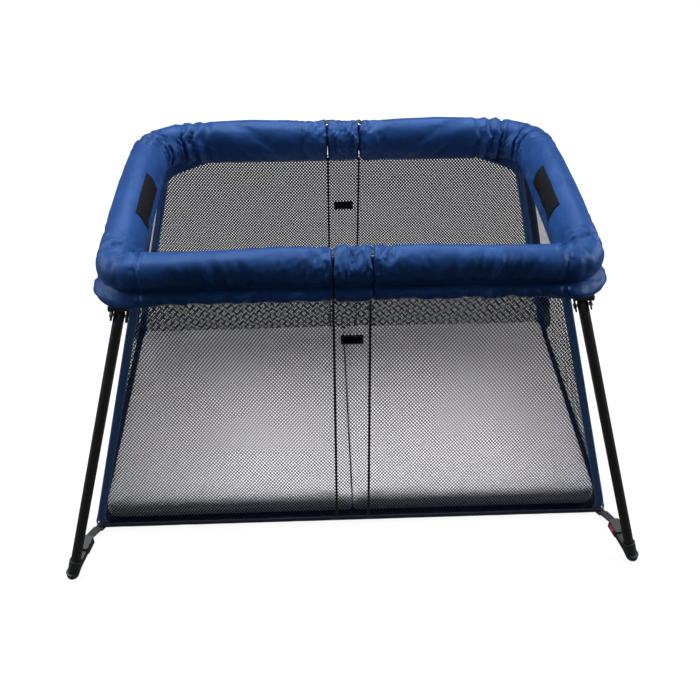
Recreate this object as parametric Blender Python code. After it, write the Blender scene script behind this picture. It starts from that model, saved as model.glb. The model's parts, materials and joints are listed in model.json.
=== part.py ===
"""Folding travel playpen, standing open. Metres, +Z up, origin on the floor under its middle.

Length along X, width along Y, the near long side at -Y. The top rail folds at two
pivots on each long side, each leg folds under the end rail, and every foot has a
sprung push button.
"""
import math

import bmesh
import bpy
from mathutils import Matrix, Vector

# Top rail
RAIL_X = 0.398            # half length of the rail tube's centre line
RAIL_Y = 0.243            # half width of the rail tube's centre line
RAIL_Z = 0.605            # height of the rail tube's centre line
RAIL_CORNER = 0.045       # bend radius of its corners
RAIL_RADIUS = 0.011
TUBE_WALL = 0.0015
RAIL_START = 0.0693       # where each half's tube begins, from the middle

# Centre hinges
FOLD_X = 0.033            # fold pivots, from the middle
FOLD_Z = 0.630
EYE_RADIUS = 0.0065
CHEEK_RADIUS = 0.0070
KNUCKLE_HALF = 0.0050     # half width of the tongue between the cheeks
CHEEK_IN = 0.0053
CHEEK_OUT = 0.0073
PIN_RADIUS = 0.0030
PIN_HOLE = 0.00310

# Padded rim
PAD_TOP = 0.646
PAD_SKIRT_Z = 0.556       # lower edge of the skirt outside
PAD_LIP_Z = 0.562         # lower edge inside
PAD_OUT = 0.0365
PAD_GAP = 0.008           # pad ends stop this far from a fold pivot
SLOT_HALF = 0.0120        # slot under the pad, for the tube and what hangs from it

# Walls and floor
WALL_TOP = (0.378, 0.2215, 0.5605)
WALL_BOTTOM = (0.530, 0.299, 0.0105)
WALL_THICK = 0.0012
SPLIT_GAP = 0.0005        # each side of a fold line
FLOOR_LOW = 0.0060
FLOOR_HIGH = 0.0100
FLOOR_CORNER = 0.030
MATTRESS_X = 0.512
MATTRESS_Y = 0.282
MATTRESS_LOW = 0.0125
MATTRESS_HIGH = 0.0580
MATTRESS_CORNER = 0.050

# Legs
LEG_PIVOT = (0.402, 0.264, 0.530)
LEG_GROUND = (0.558, 0.413, 0.0)
LEG_RADIUS = 0.0095
LEG_HEAD = 0.0095         # tube above its pivot
FOLD_LEAN = {-1: 0.150, 1: 0.106}   # how far folded near and far legs lean out, per metre of width
EAR_IN = 0.0115
EAR_OUT = 0.0145

# Feet
TOE = (0.018, 0.083)      # run of the toe arm, inward along X and along Y
TOE_HALF = 0.0092
TOE_HIGH = 0.012
HEAD_HALF = 0.0110
HEAD_LONG = 0.034
HEAD_HIGH = 0.0175
BUTTON_LONG = 0.021
BUTTON_HIGH = 0.0092
BUTTON_OUT = 0.0020
BUTTON_IN = 0.0035
BUTTON_GAP = 0.0004
POCKET_DEEP = 0.0075
STRAP_HALF = 0.0110
STRAP_LOW = 0.0025
STRAP_HIGH = 0.0045

ENDS = (("left", -1), ("right", 1))
SIDES = (("front", -1), ("rear", 1))

SLOTS = {
    "rail_paint": ((0.02, 0.02, 0.022), 0.45, 0.0),
    "leg_paint": ((0.012, 0.012, 0.014), 0.38, 0.0),
    "hinge_steel": ((0.55, 0.56, 0.58), 0.35, 1.0),
    "black_plastic": ((0.02, 0.02, 0.023), 0.5, 0.0),
    "red_plastic": ((0.52, 0.02, 0.05), 0.35, 0.0),
    "rim_fabric": ((0.035, 0.10, 0.36), 0.45, 0.0),
    "mesh_fabric": ((0.02, 0.03, 0.10), 0.8, 0.0),
    "base_fabric": ((0.015, 0.02, 0.06), 0.8, 0.0),
    "mattress_fabric": ((0.62, 0.63, 0.72), 0.85, 0.0),
    "webbing": ((0.04, 0.04, 0.045), 0.85, 0.0),
    "label_fabric": ((0.012, 0.014, 0.02), 0.7, 0.0),
}


def clear_scene():
    for thing in list(bpy.data.objects):
        bpy.data.objects.remove(thing, do_unlink=True)


def material(slot):
    found = bpy.data.materials.get(slot)
    if found:
        return found
    made = bpy.data.materials.new(slot)
    made.use_nodes = True
    colour, rough, metal = SLOTS[slot]
    shader = made.node_tree.nodes["Principled BSDF"]
    shader.inputs["Base Color"].default_value = (*colour, 1.0)
    shader.inputs["Roughness"].default_value = rough
    shader.inputs["Metallic"].default_value = metal
    return made


def place(name, bm, slot=None, origin=(0, 0, 0)):
    """Make an object from a bmesh in world coordinates, with its origin at a given point."""
    bmesh.ops.triangulate(bm, faces=[f for f in bm.faces if len(f.verts) > 4])
    bmesh.ops.recalc_face_normals(bm, faces=bm.faces)
    mesh = bpy.data.meshes.new(name)
    bmesh.ops.translate(bm, verts=bm.verts, vec=-Vector(origin))
    bm.to_mesh(mesh)
    bm.free()
    thing = bpy.data.objects.new(name, mesh)
    thing.location = origin
    bpy.context.scene.collection.objects.link(thing)
    if slot:
        mesh.materials.append(material(slot))
    return thing


def combine(target, tools, operation):
    """Join or cut a body with other bodies, which are then removed."""
    for tool in tools:
        step = target.modifiers.new("join", "BOOLEAN")
        step.solver = "EXACT"
        step.operation = operation
        step.object = tool
    bpy.context.view_layer.update()
    graph = bpy.context.evaluated_depsgraph_get()
    mesh = bpy.data.meshes.new_from_object(target.evaluated_get(graph))
    target.modifiers.clear()
    target.data = mesh
    for tool in tools:
        bpy.data.objects.remove(tool, do_unlink=True)
    return target


def skin(rings, closed=False):
    """A closed body through rings of points, capped at both ends."""
    bm = bmesh.new()
    rows = [[bm.verts.new(p) for p in ring] for ring in rings]
    count = len(rows[0])
    for a, b in zip(rows, rows[1:]):
        for i in range(count):
            j = (i + 1) % count
            bm.faces.new((a[i], a[j], b[j], b[i]))
    if not closed:
        bm.faces.new(rows[0][::-1])
        bm.faces.new(rows[-1])
    return bm


def pipe(rings_out, rings_in):
    """A hollow tube, open at both ends."""
    bm = bmesh.new()
    outer = [[bm.verts.new(p) for p in ring] for ring in rings_out]
    inner = [[bm.verts.new(p) for p in ring] for ring in rings_in]
    count = len(outer[0])
    for rows in (outer, inner):
        for a, b in zip(rows, rows[1:]):
            for i in range(count):
                j = (i + 1) % count
                bm.faces.new((a[i], a[j], b[j], b[i]))
    for a, b in ((outer[0], inner[0]), (outer[-1], inner[-1])):
        for i in range(count):
            j = (i + 1) % count
            bm.faces.new((a[i], a[j], b[j], b[i]))
    return bm


def circle(centre, u, v, radius, count):
    ring = []
    for k in range(count):
        angle = 2 * math.pi * k / count
        ring.append(centre + radius * (math.cos(angle) * u + math.sin(angle) * v))
    return ring


def across(direction):
    """Two unit vectors at right angles to a direction."""
    helper = Vector((0, 0, 1)) if abs(direction.z) < 0.9 else Vector((1, 0, 0))
    u = direction.cross(helper).normalized()
    return u, direction.cross(u).normalized()


def turned(start, axis, stations, count=16):
    """A body turned on an axis: stations are (distance along it, radius)."""
    start = Vector(start)
    axis = Vector(axis).normalized()
    u, v = across(axis)
    return skin([circle(start + axis * s, u, v, r, count) for s, r in stations])


def prism(outline, origin, u, v, w, low, high):
    """An outline in the plane of u and v, extruded along w."""
    origin = Vector(origin)
    rings = []
    for depth in (low, high):
        rings.append([origin + u * a + v * b + w * depth for a, b in outline])
    return skin(rings)


def box(low, high):
    a, b = low, high
    outline = [(a[0], a[1]), (b[0], a[1]), (b[0], b[1]), (a[0], b[1])]
    return prism(outline, (0, 0, 0), Vector((1, 0, 0)), Vector((0, 1, 0)), Vector((0, 0, 1)), a[2], b[2])


def rounded(half_u, half_v, radius, steps=3):
    """A rectangle's outline with round corners."""
    points = []
    for k, (su, sv) in enumerate(((1, 1), (-1, 1), (-1, -1), (1, -1))):
        for i in range(steps + 1):
            angle = math.pi / 2 * (k + i / steps)
            points.append((su * (half_u - radius) + radius * math.cos(angle),
                           sv * (half_v - radius) + radius * math.sin(angle)))
    return points


# Paths along the rim ------------------------------------------------------------------

def rim_path(sign, start, corner_steps=6):
    """Points and outward directions along one half of the rim, from front to rear."""
    stations = []
    first = Vector((sign * start, -RAIL_Y, RAIL_Z))
    stations.append((first, Vector((0, -1, 0))))
    for side in (-1, 1):
        centre = Vector((sign * (RAIL_X - RAIL_CORNER), side * (RAIL_Y - RAIL_CORNER), RAIL_Z))
        for k in range(corner_steps + 1):
            turn = math.pi / 2 * k / corner_steps
            if side == -1:
                out = Vector((sign * math.sin(turn), -math.cos(turn), 0))
            else:
                out = Vector((sign * math.cos(turn), math.sin(turn), 0))
            stations.append((centre + RAIL_CORNER * out, out))
    last = Vector((sign * start, RAIL_Y, RAIL_Z))
    stations.append((last, Vector((0, 1, 0))))
    return stations


def pad_profile(slot_top, top_limit):
    """Cross-section of the padded rim, outward and up: a roll over a skirt, open underneath."""
    points = [(0.0345, PAD_SKIRT_Z), (PAD_OUT, 0.566), (0.0360, 0.580), (0.0325, 0.5845)]
    points += [(0.0352, 0.590)]
    for k in range(0, 11):
        angle = math.pi * k / 10
        points.append((0.0362 * math.cos(angle), 0.604 + (PAD_TOP - 0.604) * math.sin(angle)))
    points += [(-0.0355, 0.590), (-0.0335, 0.571), (-0.0300, 0.5635), (-0.0200, PAD_LIP_Z)]
    points = [(u, min(z, top_limit)) for u, z in points]
    points += [(-SLOT_HALF, PAD_LIP_Z), (-SLOT_HALF, slot_top - 0.004), (-0.0088, slot_top)]
    points += [(0.0088, slot_top), (SLOT_HALF, slot_top - 0.004)]
    points += [(SLOT_HALF, PAD_SKIRT_Z)]
    return points


def pad_ring(point, out, slot_top, top_limit):
    flat = Vector((point.x, point.y, 0))
    return [flat + out * u + Vector((0, 0, z)) for u, z in pad_profile(slot_top, top_limit)]


def end_limits(reach):
    """Slot height and top height of a pad, this far from its fold pivot."""
    slot_top = 0.6340 if reach < 0.040 else RAIL_Z + 0.0120
    return slot_top, min(PAD_TOP + 0.001, FOLD_Z + 0.93 * reach)


# Rim ----------------------------------------------------------------------------------

def frame_tube(end, sign):
    u_up = Vector((0, 0, 1))
    outer = []
    inner = []
    for point, out in rim_path(sign, RAIL_START):
        outer.append(circle(point, out, u_up, RAIL_RADIUS, 14))
        inner.append(circle(point, out, u_up, RAIL_RADIUS - TUBE_WALL, 14))
    place(f"{end}_frame_tube", pipe(outer, inner), "rail_paint", (sign * FOLD_X, 0, FOLD_Z))


def rim_pad(end, sign):
    start = FOLD_X + PAD_GAP
    path = rim_path(sign, start, 6)
    rings = []
    for mirror in (-1, 1):
        near = []
        for reach in (PAD_GAP, 0.0125, 0.0175, 0.0395, 0.0430):
            point = Vector((sign * (FOLD_X + reach), mirror * RAIL_Y, RAIL_Z))
            near.append(pad_ring(point, Vector((0, mirror, 0)), *end_limits(reach)))
        middle = [pad_ring(p, out, *end_limits(0.2)) for p, out in path[1:-1]]
        rings += near + middle if mirror == -1 else near[::-1]
    place(f"{end}_rim_pad", skin(rings), "rim_fabric", (sign * FOLD_X, 0, FOLD_Z))


def centre_pad(side, sign):
    edge = FOLD_X - PAD_GAP
    rings = []
    for x in (-edge, -0.0205, -0.0155, 0.0155, 0.0205, edge):
        reach = FOLD_X - abs(x)
        limit = min(PAD_TOP + 0.001, FOLD_Z + 0.93 * reach)
        slot = 0.6350 if limit < 0.6400 else 0.6385
        point = Vector((x, sign * RAIL_Y, RAIL_Z))
        rings.append(pad_ring(point, Vector((0, sign, 0)), slot, limit))
    place(f"{side}_centre_pad", skin(rings), "rim_fabric")


def hinge_link(side, sign):
    y = sign * RAIL_Y
    axes = (Vector((1, 0, 0)), Vector((0, 0, 1)), Vector((0, 1, 0)))
    outline = []
    for k in range(0, 9):
        angle = -math.pi / 2 + math.pi * k / 8
        outline.append((FOLD_X + CHEEK_RADIUS * math.cos(angle), CHEEK_RADIUS * math.sin(angle)))
    outline += [(0.0250, 0.0030), (-0.0250, 0.0030)]
    for k in range(0, 9):
        angle = math.pi / 2 + math.pi * k / 8
        outline.append((-FOLD_X + CHEEK_RADIUS * math.cos(angle), CHEEK_RADIUS * math.sin(angle)))
    outline += [(-0.020, -0.016), (0.020, -0.016)]
    link = place(f"{side}_hinge_link", prism(outline, (0, y, FOLD_Z), *axes, -CHEEK_OUT, CHEEK_OUT),
                 "hinge_steel")
    cuts = []
    for end, s in ENDS:
        low = (min(s * 0.021, s * 0.060), y - CHEEK_IN, FOLD_Z - 0.030)
        high = (max(s * 0.021, s * 0.060), y + CHEEK_IN, FOLD_Z + 0.030)
        cuts.append(place("cut", box(low, high)))
        hole = turned((s * FOLD_X, y - 0.02, FOLD_Z), (0, 1, 0), ((0, PIN_HOLE), (0.04, PIN_HOLE)), 20)
        cuts.append(place("cut", hole))
    combine(link, cuts, "DIFFERENCE")


def hinge_pin(end, s, side, sign):
    y = sign * RAIL_Y
    reach = CHEEK_OUT + 0.0003
    shape = ((-reach - 0.0016, 0.0040), (-reach, 0.0048), (-reach, PIN_RADIUS), (reach, PIN_RADIUS),
             (reach, 0.0048), (reach + 0.0016, 0.0040))
    place(f"{end}_{side}_hinge_pin", turned((s * FOLD_X, y, FOLD_Z), (0, 1, 0), shape), "hinge_steel")


def knuckle(end, s, side, sign):
    """The tongue on a tube's end, which turns on its pin between the link's cheeks."""
    y = sign * RAIL_Y
    axes = (Vector((s, 0, 0)), Vector((0, 0, 1)), Vector((0, 1, 0)))
    outline = []
    for k in range(0, 11):
        angle = math.radians(52) + math.radians(206) * k / 10
        outline.append((EYE_RADIUS * math.cos(angle), EYE_RADIUS * math.sin(angle)))
    outline += [(0.0225, -0.0360), (0.0360, -0.0360), (0.0360, -0.0145), (0.0260, -0.0140)]
    origin = (s * FOLD_X, y, FOLD_Z)
    body = place(f"{end}_{side}_knuckle", prism(outline, origin, *axes, -KNUCKLE_HALF, KNUCKLE_HALF),
                 "black_plastic")
    start = (s * (FOLD_X + 0.0240), y, RAIL_Z)
    plug = turned(start, (s, 0, 0), ((0, 0.0100), (0.0115, 0.0108), (0.0120, 0.0092), (0.036, 0.0092)))
    combine(body, [place("plug", plug)], "UNION")
    hole = turned((s * FOLD_X, y - 0.02, FOLD_Z), (0, 1, 0), ((0, PIN_HOLE), (0.04, PIN_HOLE)), 20)
    combine(body, [place("hole", hole)], "DIFFERENCE")


def rim_label(end, s):
    """A blank sewn patch on the inner face of the end rail."""
    x = s * (RAIL_X - 0.0362 - 0.0012)
    low = (min(x, x - s * 0.0008), -0.100, 0.588)
    high = (max(x, x - s * 0.0008), 0.045, 0.625)
    place(f"{end}_rim_label", box(low, high), "label_fabric", (s * FOLD_X, 0, FOLD_Z))


# Walls and floor ----------------------------------------------------------------------

def wall_y(z):
    """Half width between the long walls at a height."""
    top = Vector(WALL_TOP)
    bottom = Vector(WALL_BOTTOM)
    t = (z - bottom.z) / (top.z - bottom.z)
    line = bottom.lerp(top, t)
    return line.y


def slab(corners, normal, thickness):
    """A thin panel: four corners of its middle surface, thickened both ways."""
    shift = normal.normalized() * thickness / 2
    return skin([[c - shift for c in corners], [c + shift for c in corners]])


def long_panel(name, x0, x1, sign, origin):
    """Part of a long wall. x0 and x1 are (x at the bottom, x at the top)."""
    yb = sign * WALL_BOTTOM[1]
    yt = sign * WALL_TOP[1]
    corners = [Vector((x0[0], yb, WALL_BOTTOM[2])), Vector((x1[0], yb, WALL_BOTTOM[2])),
               Vector((x1[1], yt, WALL_TOP[2])), Vector((x0[1], yt, WALL_TOP[2]))]
    place(name, slab(corners, Vector((0, 1, 0)), WALL_THICK), "mesh_fabric", origin)


def end_panel(end, s):
    clear = 0.0022
    xb, xt = s * WALL_BOTTOM[0], s * WALL_TOP[0]
    yb, yt = WALL_BOTTOM[1] - clear, WALL_TOP[1] - clear
    corners = [Vector((xb, -yb, WALL_BOTTOM[2])), Vector((xb, yb, WALL_BOTTOM[2])),
               Vector((xt, yt, WALL_TOP[2])), Vector((xt, -yt, WALL_TOP[2]))]
    place(f"{end}_end_mesh", slab(corners, Vector((1, 0, 0)), WALL_THICK), "mesh_fabric",
          (s * FOLD_X, 0, FOLD_Z))


def walls():
    inner = FOLD_X + SPLIT_GAP
    strip = FOLD_X - SPLIT_GAP
    for side, sign in SIDES:
        long_panel(f"{side}_centre_mesh", (-strip, -strip), (strip, strip), sign, (0, 0, 0))
        for end, s in ENDS:
            outer = (s * WALL_BOTTOM[0], s * WALL_TOP[0])
            long_panel(f"{side}_{end}_mesh", (s * inner, s * inner), outer, sign,
                       (s * FOLD_X, 0, FOLD_Z))
    for end, s in ENDS:
        end_panel(end, s)


def wall_label(side, sign):
    """A blank woven tab sewn on the centre strip of a long wall."""
    z0, z1 = 0.430, 0.450
    y = sign * (wall_y(0.440) - 0.0034)
    place(f"{side}_wall_label", box((-0.021, y - 0.0004, z0), (0.021, y + 0.0004, z1)), "label_fabric")


def half_floor(end, s):
    c = FLOOR_CORNER
    x, y = WALL_BOTTOM[0] + 0.0006, WALL_BOTTOM[1] + 0.0006
    inner = FOLD_X + SPLIT_GAP
    outline = [(s * inner, -y), (s * (x - c), -y), (s * (x - 0.25 * c), -y + 0.25 * c), (s * x, -y + c),
               (s * x, y - c), (s * (x - 0.25 * c), y - 0.25 * c), (s * (x - c), y), (s * inner, y)]
    axes = (Vector((1, 0, 0)), Vector((0, 1, 0)), Vector((0, 0, 1)))
    place(f"{end}_floor", prism(outline, (0, 0, 0), *axes, FLOOR_LOW, FLOOR_HIGH), "base_fabric",
          (s * FOLD_X, 0, FOLD_Z))


def centre_floor():
    strip = FOLD_X - SPLIT_GAP
    y = WALL_BOTTOM[1] + 0.0006
    place("centre_floor", box((-strip, -y, FLOOR_LOW), (strip, y, FLOOR_HIGH)), "base_fabric")


def mattress(end, s):
    """Half of the padded mattress, with softly rounded edges."""
    levels = ((0.0, 0.006), (0.006, 0.0), (0.0395, 0.0), (0.0455, 0.010))
    rings = []
    for rise, inset in levels:
        x1, y1, c = MATTRESS_X - inset, MATTRESS_Y - inset, MATTRESS_CORNER
        z = MATTRESS_LOW + rise
        ring = [Vector((s * (0.0006 + inset * 0.4), -y1, z))]
        for side in (-1, 1):
            for k in range(6):
                turn = math.pi / 2 * k / 5
                if side == 1:
                    turn = math.pi / 2 - turn
                ring.append(Vector((s * (x1 - c + c * math.sin(turn)),
                                    side * (y1 - c + c * math.cos(turn)), z)))
        ring.append(Vector((s * (0.0006 + inset * 0.4), y1, z)))
        rings.append(ring)
    place(f"{end}_mattress", skin(rings), "mattress_fabric", (s * FOLD_X, 0, FOLD_Z))


# Legs ---------------------------------------------------------------------------------

def leg_frame(s, sign):
    """Pivot, ground point, rest direction and fold axis of a leg."""
    pivot = Vector((s * LEG_PIVOT[0], sign * LEG_PIVOT[1], LEG_PIVOT[2]))
    ground = Vector((s * LEG_GROUND[0], sign * LEG_GROUND[1], LEG_GROUND[2]))
    down = (ground - pivot).normalized()
    folded = Vector((s * FOLD_LEAN[sign], -sign, 0)).normalized()
    axis = down.cross(folded).normalized()
    return pivot, ground, down, axis


def leg_name(s, sign):
    return ("front" if sign < 0 else "rear") + "_" + ("left" if s < 0 else "right")


def leg_bracket(s, sign):
    """A clevis under the rail's corner: a post in the pad's slot, a web and two ears."""
    pivot, ground, down, axis = leg_frame(s, sign)
    inset = RAIL_CORNER * (1 - math.sqrt(0.5))
    post_x, post_y = s * (RAIL_X - inset + 0.0021), sign * (RAIL_Y - inset + 0.0021)
    origin = (s * FOLD_X, 0, FOLD_Z)
    web_low, web_high = 0.5475, 0.5553
    xs = sorted((s * 0.3805, s * 0.4160))
    ys = sorted((sign * 0.2255, sign * 0.2760))
    body = place(f"{leg_name(s, sign)}_bracket", box((xs[0], ys[0], web_low), (xs[1], ys[1], web_high)),
                 "black_plastic", (0, 0, 0))
    post = turned((post_x, post_y, 0.5490), (0, 0, 1), ((0, 0.0085), (0.0440, 0.0085)), 16)
    tools = [place("post", post)]
    side_dir = Vector((axis.x, axis.y, axis.z)) * (1 if axis.x * s > 0 else -1)
    up = (Vector((0, 0, 1)) - side_dir * side_dir.z).normalized()
    along = side_dir.cross(up)
    for offset in (-1, 1):
        centre = pivot + side_dir * offset * (EAR_IN + EAR_OUT) / 2
        top = (0.5515 - centre.z) / up.z
        outline = [(-0.0115, top), (-0.0115, 0.0)]
        for k in range(1, 8):
            angle = math.pi + math.pi * k / 8
            outline.append((0.0115 * math.cos(angle), 0.0115 * math.sin(angle)))
        outline += [(0.0115, 0.0), (0.0115, top)]
        half = (EAR_OUT - EAR_IN) / 2
        tools.append(place("ear", prism(outline, centre, along, up, side_dir, -half, half)))
    combine(body, tools, "UNION")
    hole = turned(pivot - axis * 0.02, axis, ((0, PIN_HOLE), (0.04, PIN_HOLE)), 20)
    combine(body, [place("hole", hole)], "DIFFERENCE")
    shift_origin(body, origin)


def shift_origin(thing, origin):
    thing.data.transform(Matrix.Translation(Vector(thing.location) - Vector(origin)))
    thing.location = origin


def leg_pin(s, sign):
    pivot, ground, down, axis = leg_frame(s, sign)
    reach = EAR_OUT + 0.0003
    shape = ((-reach - 0.0018, 0.0045), (-reach, 0.0055), (-reach, PIN_RADIUS), (reach, PIN_RADIUS),
             (reach, 0.0055), (reach + 0.0018, 0.0045))
    place(f"{leg_name(s, sign)}_leg_pin", turned(pivot, axis, shape), "hinge_steel",
          (s * FOLD_X, 0, FOLD_Z))


def leg_tube(s, sign):
    pivot, ground, down, axis = leg_frame(s, sign)
    u, v = across(down)
    top = pivot - down * LEG_HEAD
    bottom = ground - down * (0.0170 / -down.z)
    outer = [circle(p, u, v, LEG_RADIUS, 18) for p in (top, bottom)]
    inner = [circle(p, u, v, LEG_RADIUS - TUBE_WALL, 18) for p in (top, bottom)]
    body = place(f"{leg_name(s, sign)}_leg_tube", pipe(outer, inner), "leg_paint")
    hole = turned(pivot - axis * 0.02, axis, ((0, PIN_HOLE), (0.04, PIN_HOLE)), 20)
    combine(body, [place("hole", hole)], "DIFFERENCE")
    shift_origin(body, pivot)


def toe_frame(s, sign):
    """Directions of a toe arm: along it, to its button's side, and its head's centre."""
    ground = Vector((s * LEG_GROUND[0], sign * LEG_GROUND[1], 0))
    tip = ground + Vector((-s * TOE[0], -sign * TOE[1], 0))
    along = (tip - ground).normalized()
    side = Vector((-along.y, along.x, 0))
    if side.x * sign < 0:
        side = -side
    head = tip - along * (HEAD_LONG / 2)
    return ground, tip, along, side, head


def foot_arm(s, sign):
    pivot, ground, down, axis = leg_frame(s, sign)
    base, tip, along, side, head = toe_frame(s, sign)
    up = Vector((0, 0, 1))
    length = (tip - base).length - HEAD_LONG * 0.5
    outline = []
    for k in range(0, 9):
        angle = math.pi / 2 + math.pi * k / 8
        outline.append((0.0115 * math.cos(angle), 0.0115 * math.sin(angle)))
    outline += [(0.020, -TOE_HALF), (length, -TOE_HALF), (length, TOE_HALF), (0.020, TOE_HALF)]
    body = place(f"{leg_name(s, sign)}_foot_arm", prism(outline, base, along, side, up, 0, TOE_HIGH),
                 "black_plastic")
    block = prism(rounded(HEAD_LONG / 2, HEAD_HALF, 0.004), head, along, side, up, 0, HEAD_HIGH)
    start = base - down * (0.0068 / -down.z)
    socket = turned(start, -down, ((0, 0.0118), (0.030, 0.0122), (0.032, 0.0112)))
    combine(body, [place("head", block), place("socket", socket)], "UNION")
    bore = turned(base - down * (0.0165 / -down.z), -down, ((0, 0.0099), (0.05, 0.0099)), 24)
    deep = HEAD_HALF - POCKET_DEEP
    oval = rounded(BUTTON_LONG / 2 + BUTTON_GAP, BUTTON_HIGH / 2 + BUTTON_GAP, 0.0045)
    middle = head + up * HEAD_HIGH / 2
    pocket = prism(oval, middle, along, up, side, deep, HEAD_HALF + 0.01)
    combine(body, [place("bore", bore), place("pocket", pocket)], "DIFFERENCE")
    shift_origin(body, pivot)


def release_button(s, sign):
    base, tip, along, side, head = toe_frame(s, sign)
    up = Vector((0, 0, 1))
    middle = head + up * HEAD_HIGH / 2
    rings = []
    for depth, inset in ((-BUTTON_IN, 0.0), (BUTTON_OUT - 0.0008, 0.0), (BUTTON_OUT, 0.0012)):
        oval = rounded(BUTTON_LONG / 2 - inset, BUTTON_HIGH / 2 - inset, 0.0042 - inset)
        rings.append([middle + along * a + up * b + side * (HEAD_HALF + depth) for a, b in oval])
    place(f"{leg_name(s, sign)}_release_button", skin(rings), "red_plastic",
          tuple(middle + side * HEAD_HALF))


def base_strap(s, sign):
    """Webbing from a foot's head to the corner of the base."""
    base, tip, along, side, head = toe_frame(s, sign)
    up = Vector((0, 0, 1))
    start = tip + along * 0.0004
    corner = Vector((s * (WALL_BOTTOM[0] - 0.018), sign * (WALL_BOTTOM[1] - 0.016), 0))
    run = (corner - start)
    width = run.cross(up).normalized()
    rings = []
    for z in (STRAP_LOW, STRAP_HIGH):
        lift = up * z
        first = start + run.normalized() * STRAP_HALF * 0.75
        rings.append([first - width * STRAP_HALF + lift, first + width * STRAP_HALF + lift,
                      corner + width * STRAP_HALF + lift, corner - width * STRAP_HALF + lift])
    place(f"{leg_name(s, sign)}_base_strap", skin(rings), "webbing", (s * FOLD_X, 0, FOLD_Z))


def build():
    clear_scene()
    for end, s in ENDS:
        frame_tube(end, s)
        rim_pad(end, s)
        rim_label(end, s)
        half_floor(end, s)
        mattress(end, s)
    for side, sign in SIDES:
        centre_pad(side, sign)
        hinge_link(side, sign)
        wall_label(side, sign)
        for end, s in ENDS:
            hinge_pin(end, s, side, sign)
            knuckle(end, s, side, sign)
    walls()
    centre_floor()
    for end, s in ENDS:
        for side, sign in SIDES:
            leg_bracket(s, sign)
            leg_pin(s, sign)
            leg_tube(s, sign)
            foot_arm(s, sign)
            release_button(s, sign)
            base_strap(s, sign)


build()
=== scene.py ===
"""Looks of the folding playpen: padded nylon rim, knitted mesh walls, mattress, legs and feet.

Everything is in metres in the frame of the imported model. X runs along the length, Y across
the width away from the camera, Z up.
"""
import json
import math
from functools import partial

import bmesh
import bpy
import numpy as np
from mathutils import Matrix, Vector, noise
from mathutils.bvhtree import BVHTree


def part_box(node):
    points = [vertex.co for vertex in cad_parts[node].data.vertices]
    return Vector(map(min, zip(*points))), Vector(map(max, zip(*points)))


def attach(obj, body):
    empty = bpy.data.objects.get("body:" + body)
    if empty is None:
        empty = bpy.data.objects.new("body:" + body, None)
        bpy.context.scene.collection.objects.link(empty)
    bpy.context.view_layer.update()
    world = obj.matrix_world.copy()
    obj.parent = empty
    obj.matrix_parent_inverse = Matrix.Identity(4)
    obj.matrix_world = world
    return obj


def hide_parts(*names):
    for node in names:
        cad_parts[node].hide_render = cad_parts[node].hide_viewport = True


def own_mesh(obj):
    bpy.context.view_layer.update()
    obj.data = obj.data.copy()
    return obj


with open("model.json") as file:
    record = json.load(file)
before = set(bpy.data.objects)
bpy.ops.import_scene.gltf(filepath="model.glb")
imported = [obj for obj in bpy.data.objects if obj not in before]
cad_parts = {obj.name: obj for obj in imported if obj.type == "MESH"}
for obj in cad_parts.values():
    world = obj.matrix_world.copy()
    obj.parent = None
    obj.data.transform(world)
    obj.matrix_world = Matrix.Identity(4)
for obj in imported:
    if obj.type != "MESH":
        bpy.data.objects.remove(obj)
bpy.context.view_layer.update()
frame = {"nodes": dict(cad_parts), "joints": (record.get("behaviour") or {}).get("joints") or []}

ENDS = (("left", -1), ("right", 1))
SIDES = (("front", -1), ("rear", 1))
CORNERS = [(end, s, side, sign) for end, s in ENDS for side, sign in SIDES]

# Rim, walls and base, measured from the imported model
CENTRE_LOW, CENTRE_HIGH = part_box("front_centre_mesh")
WALL_LOW, WALL_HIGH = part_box("right_end_mesh")
TUBE_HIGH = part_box("right_frame_tube")[1]
FLOOR_LOW, FLOOR_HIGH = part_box("right_floor")
JOINTS = {joint["name"]: joint for joint in frame["joints"]}
RAIL_RADIUS = 0.011
RAIL_X = TUBE_HIGH.x - RAIL_RADIUS     # centre line of the rail tube
RAIL_Y = TUBE_HIGH.y - RAIL_RADIUS
RAIL_Z = 0.605
FOLD_X = JOINTS["right_fold"]["pos_m"][0]

# Walls: the corner line between the rim and the base
WALL_INSET = 0.0006                    # from a wall's outer face to its middle
WALL_TOP = Vector((WALL_LOW.x + WALL_INSET, -CENTRE_HIGH.y - WALL_INSET, WALL_HIGH.z))
WALL_BOTTOM = Vector((WALL_HIGH.x - WALL_INSET, -CENTRE_LOW.y - WALL_INSET, WALL_LOW.z))
WALL_SLOPE = math.hypot(WALL_TOP.z - WALL_BOTTOM.z, WALL_BOTTOM.y - WALL_TOP.y)

LEG_GROUND = (0.558, 0.413)            # where a leg's centre line meets the floor

# Mesh fabric: staggered diamond holes
HOLE_A = 0.0033                        # half pitch along the wall
HOLE_B = 0.0042                        # half pitch down the wall
HOLE_OPEN = {"front": 0.66, "rear": 0.40, "end": 0.54}   # share of the pitch, each way
NET_TOP = 1.022                        # share of the wall's height: the mesh runs on up into the rim
WALL_SEED = {"front": 3.0, "rear": 7.0}

# Cloth settings
COVER_PITCH = 0.0058                   # between the rings of a half rim's cover
CENTRE_PITCH = 0.0040
CENTRE_STATIONS = 40                   # a centre piece has fewer rings than this, a half rim has more
SIM_FRAMES = 20


# Materials ----------------------------------------------------------------------------

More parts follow.
